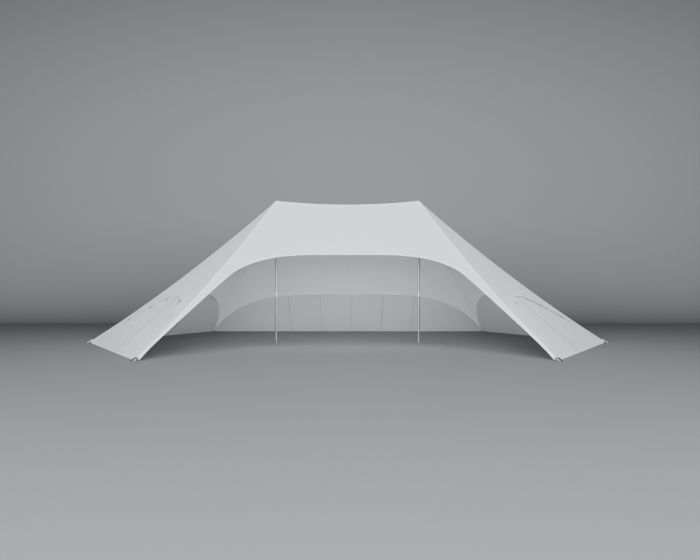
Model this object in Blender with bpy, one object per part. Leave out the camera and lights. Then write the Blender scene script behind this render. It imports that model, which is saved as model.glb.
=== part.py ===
"""Double-peak star tent: two masts carry a white membrane of six sectors, tied down at six feet.

Metres, +Z up. The origin is on the ground, midway between the masts. +X runs from mast to
mast, and -Y is the open front.

A place on the roof is given inside one sector by (q, t): q is the distance across the sector,
and t goes from 0 at the peaks to 1 at the ground line between two feet.
"""

import math

import bmesh
import bpy
from mathutils import Vector

# Driving dimensions
MAST_SPACING = 5.73
FOOT_RADIUS = 7.45
PEAK_HEIGHT = 5.69
RIDGE_SAG = 0.225
TOP_RIDGE_SAG = 0.155
FOOT_RISE = 0.05

# Arches in the lower edge of the canopy, as shares of the slope from the ground to the peaks
SIDE_ARCH_RISE = 0.369
SIDE_ARCH_SHORT_POWER = 1.75
SIDE_ARCH_LONG_POWER = 2.15
REAR_ARCH_RISE = 0.361
REAR_ARCH_POWER = 4.0
FRONT_ARCH_RISE = 0.6535
FRONT_CROWN_FALL = 0.0186
FRONT_CROWN_REACH = 2.5
FRONT_CROWN_POWER = 3.75
FRONT_LEG_END = 0.017
FRONT_LEG_FLARE = 0.112
FRONT_LEG_FLARE_REACH = 2.4
FRONT_LEG_POWER = 1.59
FRONT_CORNER_SOFTNESS = 0.0166

# Fabric
FABRIC_THICKNESS = 0.012
SEAM_GAP = 0.0003
SEAT_GAP = 0.0009
TIP_T = 0.008
CORNER_T = 0.9766
STATIONS = 11
MIDDLE_STATIONS = 6
CANOPY_ROWS = 6
CANOPY_ROW_GRADING = 2
WALL_ROWS = 8
WALL_TOP_GAP = 0.0004
WALL_END_INSET = 0.065
ZIP_WIDTH = 0.03
ZIP_PLACE = 0.26
ZIP_LEAN = 0.24

# Masts
MAST_RADIUS = 0.04
MAST_WALL = 0.004
MAST_SIDES = 20
BASE_RADIUS = 0.065
BASE_THICKNESS = 0.01
SPIGOT_HEIGHT = 0.12
SPIGOT_CLEARANCE = 0.0005
HEAD_RADIUS = 0.14
HEAD_DEPTH = 0.2
CAP_RADIUS = 0.15
CAP_THICKNESS = 0.008
DISC_SIDES = 12
DISC_RINGS = 2

# Tie-down at each foot, measured out from the mast along the ridge
STRAP_START = 6.98
STRAP_END = 7.36
STRAP_HALF_WIDTH = 0.03
STRAP_THICKNESS = 0.006
STRAP_STEPS = 4
RATCHET_LENGTH = 0.23
RATCHET_WIDTH = 0.07
RATCHET_FALL = 0.105
RATCHET_FRAME = 0.012
HANDLE_INNER_SHARE = 0.2
HANDLE_OUTER_SHARE = 0.75
HANDLE_RISE = 0.028
STAKE_RADIUS = 0.014
STAKE_HEIGHT = 0.05
STAKE_HEAD_RADIUS = 0.026
STAKE_HEAD_HEIGHT = 0.016
STAKE_LEAN = 0.012
STAKE_SIDES = 12

# Edges sharper than this are shaded as corners
SHARP_ANGLE = math.radians(30)

# Worked out from the driving dimensions
SLOPE_RUN = FOOT_RADIUS * math.sin(math.pi / 3)
SLOPE_ANGLE = math.atan2(PEAK_HEIGHT, SLOPE_RUN)
DROP = FABRIC_THICKNESS / math.cos(SLOPE_ANGLE)
SETBACK = FABRIC_THICKNESS / math.sin(SLOPE_ANGLE)
LONG_HALF_BASE = (MAST_SPACING + FOOT_RADIUS) / 2
SIDE_HALF_BASE = FOOT_RADIUS / 2
SIDE_WALL_HALF = SIDE_HALF_BASE - WALL_END_INSET
ZIP_EDGE = ZIP_WIDTH / 2

# Name: (mast side, bearing of the sector's fall line in degrees, which way across it the foot of
# the long side lies)
SIDE_SECTORS = {
    "left_front": (-1, 210, 1),
    "left_rear": (-1, 150, -1),
    "right_front": (1, 330, -1),
    "right_rear": (1, 30, 1),
}
LONG_SECTORS = {"front": 270, "rear": 90}

# Name: (mast side, bearing of the ridge in degrees)
FEET = {
    "left": (-1, 180),
    "left_front": (-1, 240),
    "left_rear": (-1, 120),
    "right": (1, 0),
    "right_front": (1, 300),
    "right_rear": (1, 60),
}

# Colour, roughness and metallic value
FINISHES = {
    "canopy_fabric": ((0.80, 0.81, 0.82), 0.55, 0.0),
    "wall_fabric": ((0.76, 0.77, 0.78), 0.55, 0.0),
    "zip": ((0.55, 0.56, 0.57), 0.5, 0.0),
    "mast_aluminium": ((0.72, 0.73, 0.75), 0.35, 1.0),
    "steel_fitting": ((0.45, 0.46, 0.48), 0.4, 1.0),
    "webbing": ((0.78, 0.78, 0.77), 0.8, 0.0),
    "dark_steel": ((0.05, 0.05, 0.055), 0.5, 0.8),
}


def clear_scene():
    for obj in list(bpy.data.objects):
        bpy.data.objects.remove(obj)


def make_material(name):
    colour, roughness, metallic = FINISHES[name]
    material = bpy.data.materials.new(name)
    material.use_nodes = True
    shader = material.node_tree.nodes["Principled BSDF"]
    shader.inputs["Base Color"].default_value = (*colour, 1.0)
    shader.inputs["Roughness"].default_value = roughness
    shader.inputs["Metallic"].default_value = metallic
    return material


def add_piece(name, work_mesh, finish):
    """Turns a closed work mesh into a named object with its own finish."""
    bmesh.ops.recalc_face_normals(work_mesh, faces=work_mesh.faces)
    mesh = bpy.data.meshes.new(name)
    work_mesh.to_mesh(mesh)
    work_mesh.free()
    mesh.shade_smooth()
    mesh.set_sharp_from_angle(angle=SHARP_ANGLE)
    mesh.materials.append(MATERIALS[finish])
    piece = bpy.data.objects.new(name, mesh)
    bpy.context.scene.collection.objects.link(piece)
    return piece


def roof_height(x, y):
    """Height of the fabric's outer face above a point of the ground."""
    beyond_mast = max(abs(x) - MAST_SPACING / 2, 0)
    reach = max(abs(y), beyond_mast * math.cos(math.pi / 6) + abs(y) / 2)
    t = min(reach / SLOPE_RUN, 1)
    height = PEAK_HEIGHT * (1 - t) + FOOT_RISE * t - 4 * RIDGE_SAG * t * (1 - t)
    if abs(y) >= math.sqrt(3) * beyond_mast:
        across = 2 * abs(x) / (MAST_SPACING + t * FOOT_RADIUS)
        height -= TOP_RIDGE_SAG * max(0, 1 - across**2) * (1 - t) ** 2
    return height


def side_arch(end):
    """The canopy's edge over a side wall, which is flatter towards the long side's foot."""

    def arch(q):
        power = SIDE_ARCH_LONG_POWER if q * end > 0 else SIDE_ARCH_SHORT_POWER
        return 1 - SIDE_ARCH_RISE * (1 - (abs(q) / SIDE_HALF_BASE) ** power)

    return arch


def rear_arch(q):
    return 1 - REAR_ARCH_RISE * (1 - (abs(q) / LONG_HALF_BASE) ** REAR_ARCH_POWER)


def smooth_max(a, b, softness):
    return (a + b + math.sqrt((a - b) ** 2 + softness**2)) / 2


def front_arch(q):
    """A flat crown that turns down into two legs, which follow the ridges to the feet."""
    crown = 1 - FRONT_ARCH_RISE
    crown += FRONT_CROWN_FALL * (abs(q) / FRONT_CROWN_REACH) ** FRONT_CROWN_POWER
    reach = max(abs(q), MAST_SPACING / 2)
    flare = max(LONG_HALF_BASE - reach, 0) / FRONT_LEG_FLARE_REACH
    leg = ridge_t(reach, MAST_SPACING) + FRONT_LEG_END
    leg += FRONT_LEG_FLARE * flare**FRONT_LEG_POWER
    return smooth_max(crown, leg, FRONT_CORNER_SOFTNESS)


def ridge_t(q, top_length):
    """The t at which a ridge, or the top of the sector, passes q across."""
    return max((2 * abs(q) - top_length) / FOOT_RADIUS, 0)


def ridge_stations():
    """The t of each column along a ridge, closest together at the peak and at the foot."""
    turns = [math.pi * k / STATIONS for k in range(STATIONS + 1)]
    return [TIP_T + (CORNER_T - TIP_T) * (1 - math.cos(turn)) / 2 for turn in turns]


def half_columns(top_length):
    """The q of the columns from the middle of a sector out to one foot."""
    columns = [(top_length + t * FOOT_RADIUS) / 2 for t in ridge_stations()]
    turns = [math.pi / 2 * k / MIDDLE_STATIONS for k in range(MIDDLE_STATIONS + 1)]
    middle = [top_length / 2 * math.sin(turn) for turn in turns] if top_length else [0.0]
    return middle + columns


def mirrored(columns):
    return [-q for q in reversed(columns) if q > 0] + columns


class Sector:
    """One of the six faces of the roof, with its own axes on the ground."""

    def __init__(self, mast_side, bearing, top_length):
        angle = math.radians(bearing)
        self.origin = Vector((mast_side * MAST_SPACING / 2, 0, 0))
        self.fall = Vector((math.cos(angle), math.sin(angle), 0))
        self.across = Vector((-math.sin(angle), math.cos(angle), 0))
        self.top_length = top_length

    def plan(self, q, t):
        return self.origin + self.fall * (t * SLOPE_RUN) + self.across * q

    def point(self, q, t):
        place = self.plan(q, t)
        place.z = roof_height(place.x, place.y)
        return place


def side_sector(name):
    mast_side, bearing, _ = SIDE_SECTORS[name]
    return Sector(mast_side, bearing, 0.0)


def long_sector(name):
    return Sector(0, LONG_SECTORS[name], MAST_SPACING)


def closed_sheet(outer, inner):
    """A closed work mesh between two grids of points, given as lists of columns."""
    work_mesh = bmesh.new()
    top = [[work_mesh.verts.new(p) for p in column] for column in outer]
    under = [[work_mesh.verts.new(p) for p in column] for column in inner]
    last_column, last_row = len(top) - 1, len(top[0]) - 1
    for i in range(last_column):
        for j in range(last_row):
            for grid in (top, under):
                corners = (grid[i][j], grid[i + 1][j], grid[i + 1][j + 1], grid[i][j + 1])
                work_mesh.faces.new(corners)
    rim = [(i, 0) for i in range(last_column)]
    rim += [(last_column, j) for j in range(last_row)]
    rim += [(i, last_row) for i in range(last_column, 0, -1)]
    rim += [(0, j) for j in range(last_row, 0, -1)]
    for (i, j), (k, l) in zip(rim, rim[1:] + rim[:1]):
        work_mesh.faces.new((top[i][j], top[k][l], under[k][l], under[i][j]))
    return work_mesh


def canopy_sheet(sector, arch, columns):
    """The membrane of one sector, from the ridges down to the edge of its arch."""
    ridge_inset = SEAM_GAP / math.cos(math.pi / 6) / 2
    outer = []
    for q in columns:
        start = max(ridge_t(q, sector.top_length), SEAM_GAP / 2 / SLOPE_RUN)
        if not sector.top_length:
            start = max(start, TIP_T)
        end = arch(q)
        shares = [(j / CANOPY_ROWS) ** CANOPY_ROW_GRADING for j in range(CANOPY_ROWS + 1)]
        column = [sector.point(q, start + (end - start) * share) for share in shares]
        if abs(q) > sector.top_length / 2:
            column[0] -= sector.across * math.copysign(ridge_inset, q)
        outer.append(column)
    inner = [[p - Vector((0, 0, DROP)) for p in column] for column in outer]
    return closed_sheet(outer, inner)


def wall_sheet(sector, arch, columns, shear=None):
    """The wall under an arch, from the canopy's edge to the ground line.

    shear gives how far each column moves across on its way down.
    """
    outer, inner = [], []
    for q in columns:
        start = arch(q) + WALL_TOP_GAP / SLOPE_RUN
        aside = shear(q) if shear else 0.0
        outer_column, inner_column = [], []
        for j in range(WALL_ROWS + 1):
            share = j / WALL_ROWS
            place = sector.point(q + aside * share, start + (1 - start) * share)
            if j == WALL_ROWS:
                place.z = 0.0
            shift = Vector((0, 0, -DROP)) * (1 - share) - sector.fall * SETBACK * share
            outer_column.append(place)
            inner_column.append(place + shift)
        outer.append(outer_column)
        inner.append(inner_column)
    return closed_sheet(outer, inner)


def beside_zip(end):
    """The places of the two wall edges at the zip, in order across the sector."""
    return [ZIP_PLACE * end - ZIP_EDGE - SEAM_GAP, ZIP_PLACE * end + ZIP_EDGE + SEAM_GAP]


def build_canopy():
    for name in LONG_SECTORS:
        arch = front_arch if name == "front" else rear_arch
        columns = mirrored(half_columns(MAST_SPACING))
        sheet = canopy_sheet(long_sector(name), arch, columns)
        add_piece("canopy_" + name, sheet, "canopy_fabric")
    for name, (_, _, end) in SIDE_SECTORS.items():
        columns = sorted(mirrored(half_columns(0.0)) + beside_zip(end))
        sheet = canopy_sheet(side_sector(name), side_arch(end), columns)
        add_piece("canopy_" + name, sheet, "canopy_fabric")


def zip_shear(end):
    """How far a side wall moves across on its way down, most at the zip and nothing at its ends."""

    def shear(q):
        middle = ZIP_PLACE * end
        reach = SIDE_WALL_HALF - middle if q > middle else SIDE_WALL_HALF + middle
        return ZIP_LEAN * end * (1 - abs(q - middle) / reach)

    return shear


def build_side_walls():
    """Each side wall is two halves that meet at a zip, which leans towards the long side."""
    for name, (_, _, end) in SIDE_SECTORS.items():
        sector, arch, shear = side_sector(name), side_arch(end), zip_shear(end)
        lower, upper = beside_zip(end)
        columns = mirrored(half_columns(0.0))
        halves = {
            "1": [upper] + [q for q in columns if q > upper] + [SIDE_WALL_HALF],
            "2": [-SIDE_WALL_HALF] + [q for q in columns if q < lower] + [lower],
        }
        for number, places in halves.items():
            sheet = wall_sheet(sector, arch, places, shear)
            add_piece(f"wall_{name}_{number}", sheet, "wall_fabric")
        edges = [ZIP_PLACE * end - ZIP_EDGE, ZIP_PLACE * end + ZIP_EDGE]
        add_piece("zip_" + name, wall_sheet(sector, arch, edges, shear), "zip")


def build_rear_wall():
    half = half_columns(MAST_SPACING)
    half.append(LONG_HALF_BASE - WALL_END_INSET)
    sheet = wall_sheet(long_sector("rear"), rear_arch, mirrored(half))
    add_piece("wall_rear", sheet, "wall_fabric")


def turned(profile, sides, centre):
    """A closed work mesh turned about the upright axis at centre, from (radius, z) corners."""
    work_mesh = bmesh.new()
    rings = []
    for radius, z in profile:
        if radius == 0:
            rings.append([work_mesh.verts.new((centre[0], centre[1], z))])
            continue
        ring = []
        for k in range(sides):
            turn = math.tau * k / sides
            place = (centre[0] + radius * math.cos(turn), centre[1] + radius * math.sin(turn), z)
            ring.append(work_mesh.verts.new(place))
        rings.append(ring)
    for lower, upper in zip(rings, rings[1:] + rings[:1]):
        if len(lower) == 1 and len(upper) == 1:
            continue
        for k in range(sides):
            n = (k + 1) % sides
            corners = [lower[k % len(lower)], lower[n % len(lower)]]
            corners += [upper[n % len(upper)], upper[k % len(upper)]]
            work_mesh.faces.new(list(dict.fromkeys(corners)))
    return work_mesh


def roof_disc(centre, radius, top_offset, base_of):
    """A round work mesh whose top follows the roof, and whose underside base_of gives."""
    work_mesh = bmesh.new()

    def pair(x, y):
        z = roof_height(x, y)
        return work_mesh.verts.new((x, y, z + top_offset)), work_mesh.verts.new((x, y, base_of(z)))

    middle = pair(*centre)
    rings = []
    for step in range(1, DISC_RINGS + 1):
        reach = radius * step / DISC_RINGS
        turns = [math.tau * k / DISC_SIDES for k in range(DISC_SIDES)]
        rings.append(
            [pair(centre[0] + reach * math.cos(a), centre[1] + reach * math.sin(a)) for a in turns]
        )
    for k in range(DISC_SIDES):
        n = (k + 1) % DISC_SIDES
        for level in (0, 1):
            work_mesh.faces.new((middle[level], rings[0][k][level], rings[0][n][level]))
            for near, far in zip(rings, rings[1:]):
                ring_face = (near[k][level], far[k][level], far[n][level], near[n][level])
                work_mesh.faces.new(ring_face)
        edge = rings[-1]
        work_mesh.faces.new((edge[k][0], edge[n][0], edge[n][1], edge[k][1]))
    return work_mesh


def build_mast(side, name):
    centre = (side * MAST_SPACING / 2, 0.0)
    bore = MAST_RADIUS - MAST_WALL
    spigot = bore - SPIGOT_CLEARANCE
    foot = BASE_THICKNESS + SEAM_GAP
    top = PEAK_HEIGHT - HEAD_DEPTH
    base = [(0, 0), (BASE_RADIUS, 0), (BASE_RADIUS, BASE_THICKNESS), (spigot, BASE_THICKNESS)]
    base += [(spigot, SPIGOT_HEIGHT), (0, SPIGOT_HEIGHT)]
    tube = [(MAST_RADIUS, foot), (MAST_RADIUS, top), (bore, top), (bore, foot)]
    add_piece("mast_base_" + name, turned(base, MAST_SIDES, centre), "steel_fitting")
    add_piece("mast_" + name, turned(tube, MAST_SIDES, centre), "mast_aluminium")
    seat = top + SEAM_GAP
    head = roof_disc(centre, HEAD_RADIUS, -DROP - SEAT_GAP, lambda z: seat)
    add_piece("mast_head_" + name, head, "steel_fitting")
    cap = roof_disc(centre, CAP_RADIUS, SEAT_GAP + CAP_THICKNESS, lambda z: z + SEAT_GAP)
    add_piece("peak_cap_" + name, cap, "canopy_fabric")


class Ridge:
    """Places along one ridge: r out from the mast, v across, z up."""

    def __init__(self, mast_side, bearing):
        angle = math.radians(bearing)
        self.origin = Vector((mast_side * MAST_SPACING / 2, 0, 0))
        self.out = Vector((math.cos(angle), math.sin(angle), 0))
        self.across = Vector((-math.sin(angle), math.cos(angle), 0))

    def point(self, r, v, z):
        return self.origin + self.out * r + self.across * v + Vector((0, 0, z))

    def on_roof(self, r, v):
        place = self.point(r, v, 0)
        place.z = roof_height(place.x, place.y)
        return place


def strap_sheet(ridge):
    """Webbing that lies over the end of the ridge and runs on to the ratchet."""
    seat = Vector((0, 0, SEAT_GAP))
    under = []
    for v in (-STRAP_HALF_WIDTH, 0.0, STRAP_HALF_WIDTH):
        reaches = [
            STRAP_START + (STRAP_END - STRAP_START) * k / STRAP_STEPS
            for k in range(STRAP_STEPS + 1)
        ]
        under.append([ridge.on_roof(r, v) + seat for r in reaches])
    thickness = Vector((0, 0, STRAP_THICKNESS))
    outer = [[p + thickness for p in column] for column in under]
    return closed_sheet(outer, under)


def ratchet_line(ridge, share):
    """Reach and height of the ratchet's middle, at a share of the way out along it."""
    start = ridge.on_roof(STRAP_END, 0).z + RATCHET_FRAME
    return STRAP_END + SEAM_GAP + RATCHET_LENGTH * share, start - RATCHET_FALL * share


def ratchet_block(ridge):
    """The tensioner: a long, low frame with its handle folded down on it."""
    rises = [(0, -RATCHET_FRAME), (1, -RATCHET_FRAME), (1, RATCHET_FRAME)]
    rises += [(HANDLE_OUTER_SHARE, HANDLE_RISE), (HANDLE_INNER_SHARE, HANDLE_RISE)]
    rises.append((0, RATCHET_FRAME))
    profile = []
    for share, rise in rises:
        reach, height = ratchet_line(ridge, share)
        profile.append((reach, height + rise))
    work_mesh = bmesh.new()
    sides = []
    for v in (-RATCHET_WIDTH / 2, RATCHET_WIDTH / 2):
        sides.append([work_mesh.verts.new(ridge.point(r, v, z)) for r, z in profile])
    for corners in sides:
        work_mesh.faces.new(corners)
    for k in range(len(profile)):
        n = (k + 1) % len(profile)
        work_mesh.faces.new((sides[0][k], sides[0][n], sides[1][n], sides[1][k]))
    return work_mesh


def stake_body(ridge):
    """A round ground stake that leans away from the tent, cut off level at the ground."""
    end, low_end = ratchet_line(ridge, 1)
    lean_at_contact = STAKE_LEAN * (low_end - RATCHET_FRAME) / STAKE_HEIGHT
    foot = ridge.point(end + SEAM_GAP + STAKE_RADIUS - lean_at_contact, 0, 0)
    shoulder = STAKE_HEIGHT - STAKE_HEAD_HEIGHT
    profile = [(0, 0), (STAKE_RADIUS, 0), (STAKE_RADIUS, shoulder)]
    profile += [(STAKE_HEAD_RADIUS, shoulder), (STAKE_HEAD_RADIUS, STAKE_HEIGHT), (0, STAKE_HEIGHT)]
    work_mesh = turned(profile, STAKE_SIDES, (foot.x, foot.y))
    for vertex in work_mesh.verts:
        vertex.co += ridge.out * STAKE_LEAN * vertex.co.z / STAKE_HEIGHT
    return work_mesh


def build_foot(name):
    ridge = Ridge(*FEET[name])
    add_piece("strap_" + name, strap_sheet(ridge), "webbing")
    add_piece("ratchet_" + name, ratchet_block(ridge), "dark_steel")
    add_piece("stake_" + name, stake_body(ridge), "dark_steel")


clear_scene()
MATERIALS = {name: make_material(name) for name in FINISHES}
build_canopy()
build_side_walls()
build_rear_wall()
build_mast(-1, "left")
build_mast(1, "right")
for foot_name in FEET:
    build_foot(foot_name)
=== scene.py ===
"""Looks of the double-peak star tent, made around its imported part.

Metres, +Z up. The origin is on the ground, midway between the masts. +X runs from mast to
mast, and -Y is the open front.

A place on the roof is given inside one sector by (q, t): q is the distance across the sector,
and t goes from 0 at the peaks to 1 at the ground line between two feet. Each piece of cloth
keeps a map named "cloth", in metres: u across its sector and v down its slope.
"""

import math
from functools import partialmethod

import bmesh
import bpy
import numpy as np
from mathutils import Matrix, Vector


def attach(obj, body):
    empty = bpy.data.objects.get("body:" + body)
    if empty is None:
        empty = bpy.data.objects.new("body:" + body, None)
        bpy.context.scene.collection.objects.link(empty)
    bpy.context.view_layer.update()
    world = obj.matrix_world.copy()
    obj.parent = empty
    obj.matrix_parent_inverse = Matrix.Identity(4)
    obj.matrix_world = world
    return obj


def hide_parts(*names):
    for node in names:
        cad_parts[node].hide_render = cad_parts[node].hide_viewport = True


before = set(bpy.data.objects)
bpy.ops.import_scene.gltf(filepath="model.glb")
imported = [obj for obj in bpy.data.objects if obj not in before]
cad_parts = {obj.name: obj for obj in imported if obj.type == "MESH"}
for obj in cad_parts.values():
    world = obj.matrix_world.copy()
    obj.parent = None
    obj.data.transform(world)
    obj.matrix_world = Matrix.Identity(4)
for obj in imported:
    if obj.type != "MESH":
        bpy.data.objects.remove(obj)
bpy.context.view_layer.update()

# Driving dimensions, as in the part
MAST_SPACING = 5.73
FOOT_RADIUS = 7.45
PEAK_HEIGHT = 5.69
RIDGE_SAG = 0.225
TOP_RIDGE_SAG = 0.155
FOOT_RISE = 0.05

# Arches in the lower edge of the canopy, as shares of the slope from the ground to the peaks
SIDE_ARCH_RISE = 0.369
SIDE_ARCH_SHORT_POWER = 1.75
SIDE_ARCH_LONG_POWER = 2.15
REAR_ARCH_RISE = 0.361
REAR_ARCH_POWER = 4.0
FRONT_ARCH_RISE = 0.6535
FRONT_CROWN_FALL = 0.0186
FRONT_CROWN_REACH = 2.5
FRONT_CROWN_POWER = 3.75
FRONT_LEG_END = 0.017
FRONT_LEG_FLARE = 0.112
FRONT_LEG_FLARE_REACH = 2.4
FRONT_LEG_POWER = 1.59
FRONT_CORNER_SOFTNESS = 0.0166

# Membrane
CORNER_T = 0.9766
CLOTH = 0.0015
RIDGE_STEPS = 60
TOP_STEPS = 44
CANOPY_STEPS = 30
RIDGE_BAND = 0.03
BAND_RISE = 0.0007
HEM = 0.05
STEP = 0.0012
MOST_OF_COLUMN = 0.85

# Folds that the peaks and the feet pull into the cloth, and the lift of the side arches
PEAK_FOLD = 0.006
PEAK_FOLD_COUNT = 9
PEAK_FOLD_START = 0.16
PEAK_FOLD_REACH = 0.55
FOOT_FOLD = 0.004
FOOT_FOLD_COUNT = 11
FOOT_FOLD_REACH = 0.9
HEM_CREASE = 0.012
HEM_CREASE_WIDTH = 0.012
HEM_CREASE_START = 6.0
HEM_CREASE_FULL = 6.25
EDGE_LIFT = 0.006
EDGE_LIFT_REACH = 0.22

# Walls
WALL_RECESS = 0.0085
WALL_TUCK = 0.006
WALL_STEPS = 16
SIDE_WALL_STEPS = 48
REAR_WALL_STEPS = 150
WALL_END_INSET = 0.048
SEAM_GAP = 0.0003

# Zips
ZIP_WIDTH = 0.03
ZIP_PLACE = 0.26
ZIP_LEAN = 0.24
ZIP_GAP = 0.003
ZIP_TAPE = 0.0225
ZIP_TAPE_CLOTH = 0.001
ZIP_TUCK = 0.06
TOOTH_PITCH = 0.006
TOOTH_SHARE = 0.72
TOOTH_WIDTH = 0.007
TOOTH_RISE = 0.0013
SLIDER_HEIGHT = 0.2

# Layers of the slider and of a buckle: outline, lower and upper face, in mm
SLIDER_LAYERS = (
    ([(-7, -8), (-4, -11), (4, -11), (7, -8), (5, 10), (-5, 10)], 1.2, 3.2),
    ([(-2, -7), (2, -7), (2, 7), (-2, 7)], 3.2, 6.0),
    ([(-4, 2), (4, 2), (5, 10), (5, 40), (3, 44), (-3, 44), (-5, 40), (-5, 10)], 6.0, 7.6),
)

# Zip tape under the canopy's edge over a side wall, widened in places into a painted shadow
# of the gap under that edge: first and last place across, its width, how much wider it is where
# it is widest, the place of that, and how far the wide bit reaches
EDGE_TAPES_AND_SHADOWS = {
    "left_front": (1.3, -0.9, 0.006, 0.07, 0.97, 0.18),
    "left_rear": (1.25, 0.65, 0.004, 0.03, 0.95, 0.2),
    "right_front": (0.45, -2.85, 0.08, 0.08, -1.5, 1.3),
    "right_rear": (0.8, -0.4, 0.004, 0.02, 0.2, 0.4),
}
EDGE_TAPE_TUCK = 0.012
EDGE_TAPE_CLOTH = 0.0014
EDGE_TAPE_FADE = 0.35
EDGE_TAPE_STEPS = 90

# Strips of cloth, joined by welds with a tape on the inner face
STRIP = 1.322
STRIP_FLARE = 0.113
WALL_WELDS = (-3.07, -1.62, -0.19, 1.27, 2.75)
SIDE_WALL_WELD = 1.43
WALL_TAPE_END = 0.993
WELD_WIDTH = 0.01
WALL_WELD_WIDTH = 0.025
WELD_RISE = 0.0009
WELD_GAP = 0.0003
WELD_END = 0.12

# Stitches
STITCH_PITCH = 0.015
STITCH_LENGTH = 0.010
STITCH_WIDTH = 0.0016
STITCH_RISE = 0.0008
STITCH_INSET = 0.006

# Tabs that buckle the canopy to the side walls: distance across at the edge, towards the long
# side's foot, and how far a tab moves across for each metre down
TABS = {
    "left": ((2.16, -0.7), (1.22, -0.95), (-0.68, 0.7), (-1.53, 0.5), (-2.42, 0.5)),
    "right": ((2.16, -0.7), (1.22, -0.95), (-0.55, 0.7), (-1.38, 0.5), (-2.27, 0.5)),
}
TORN_OFF = ("right_front", 2.16)
TAB_ABOVE = 0.05
TAB_BELOW = 0.14
TAB_STEPS = 28
TAB_STEP_DOWN = 0.05
TAB_WIDTH = 0.05
TAB_THICKNESS = 0.0018
BUCKLE_PLACE = 0.57
BUCKLE_LAYERS = (
    (
        [(-32, -52), (32, -52), (35, -44), (35, 44), (32, 52), (-32, 52), (-35, 44), (-35, -44)],
        0,
        8,
    ),
    ([(-21, -38), (21, -38), (24, -25), (21, 32), (-21, 32), (-24, -25)], 8, 12),
    ([(-32, 60), (32, 60), (32, 70), (-32, 70)], 0, 7),
)

# Masts
MAST_RADIUS = 0.04
SOCKET_WALL = 0.004
BASE_RADIUS = 0.065
BASE_THICKNESS = 0.01
BOLT_CIRCLE = 0.0545
SPIGOT_HEIGHT = 0.12
HEAD_RADIUS = 0.14
HEAD_DEPTH = 0.2
HEAD_CLEARANCE = 0.006
CAP_RADIUS = 0.15
CAP_SIDES = 72
CAP_TOP = 0.0052
MAST_JOINTS = (1.95, 3.8)
SLEEVE_LENGTH = 0.16

# Straps, ratchets and stakes
STRAP_START = 6.98
STRAP_END = 7.36
STRAP_HALF_WIDTH = 0.03
STRAP_SEAT = 0.0021
STRAP_CLOTH = 0.0026
SEWN_START = 0.012
SEWN_LENGTH = 0.26
STRAP_STITCH_PITCH = 0.008
RATCHET_LENGTH = 0.23
RATCHET_FALL = 0.105
RATCHET_FRAME = 0.012
STAKE_RADIUS = 0.014
STAKE_HEIGHT = 0.05
STAKE_HEAD_RADIUS = 0.026
STAKE_HEAD_HEIGHT = 0.016
STAKE_LEAN = 0.012
RING_HEIGHT = 0.009
RING_RADIUS = 0.022
RING_WIRE = 0.0035
RING_STEPS = 28
WIRE_SIDES = 8

# Outlines of the ratchet, in mm along it and up from its middle line
RATCHET_SIDE = [(6, -10), (238, -10), (247, -6), (250, 0), (247, 6), (236, 8), (206, 17)]
RATCHET_SIDE += [(180, 21), (58, 21), (28, 14), (6, 9), (2, 6), (2, -6)]
RATCHET_ARM = [(64, 2), (232, 1), (238, 5), (206, 18), (180, 22), (120, 22.5), (64, 22)]
RATCHET_ARM += [(58, 18), (58, 6)]
RATCHET_COVER = [(60, 22), (120, 22.5), (180, 22), (206, 18), (238, 9)]
RATCHET_TOOTH = [(0, 15), (0.7, 17), (0.75, 14.5)]
WHEEL_TEETH = 14
DRUM_PLACE = 160

# Inner and outer face of its plates on both sides of the middle, in mm
SIDE_FACES = (31, 34)
ARM_FACES = (34.5, 37)
WHEEL_FACES = (22.5, 25.5)

MM = 0.001
TINY = 0.0004

# Finishes
CLOTH_THREAD = 0.0016
CLOTH_ROUGHNESS = 0.55
GLOW_DEPTH = 0.014
DUST_COLOUR = (0.42, 0.40, 0.37)
# Painted shade on the walls' inner faces: its colour, and for each wall the middle, shape and
# power of the pool that keeps the cloth's own tone
PAINTED_SHADE_COLOUR = (0.08, 0.082, 0.084)
REAR_WALL_PAINTED_SHADE = ((0.1, 0, 2.0), (0.075, 0, 0.18), 2.0)
SIDE_WALL_PAINTED_SHADE = ((0.1, 0, 2.0), (0, 0, 0.35), 2.0)

# The camera stands level, at the height and distance that the photograph was taken from
CAMERA_PLACE = (0.102, -28.8, 2.52)
FOCAL_LENGTH = 36.894
SENSOR_WIDTH = 36.0

# Studio: a pale floor with painted pools of light, and a backdrop that stands behind the tent with
# painted shade towards the floor
FLOOR_RADIUS = 160.0
FLOOR_TONE = 0.152
POOL_PLACE = (0, -2, 0)
POOL_SHAPE = (0.35, 0.6, 0)
POOL_REACH = 50.0
SHELTER_PLACE = (0, 1.5, 0)
SHELTER_SHAPE = (0.155, 0.19, 0)
SHELTER_PAINTED_LIGHT = 0.3
BACKDROP_PLACE = 13.0
BACKDROP_HALF_WIDTH = 60.0
BACKDROP_HEIGHT = 40.0
BACKDROP_TONE = 0.17
BACKDROP_FOOT_SHADE = 0.52
BACKDROP_FOOT_SHADE_HEIGHT = 0.95
BACKDROP_POOL_HEIGHT = 9.0
BACKDROP_POOL_SHAPE = (0, 1, 1)
BACKDROP_POOL_REACH = 19.0
ROOM_COLOUR = (0.14, 0.142, 0.144, 1)
LIGHT_AIM = (0, 0, 2)
LIGHT_COLOUR = (0.962, 1.0, 1.03)
SOFT_BOXES = {
    "left_box": ((-22, -32, 10), (16, 12), 14700, 180),
    "right_box": ((22, -32, 10), (16, 12), 14700, 180),
    "top_box": ((0, -6, 14), (12, 8), 1350, 180),
    "front_box": ((0, -34, 10), (20, 10), 15200, 180),
    "rear_box": ((0, 13, 9), (6, 4), 340, 120),
}

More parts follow.
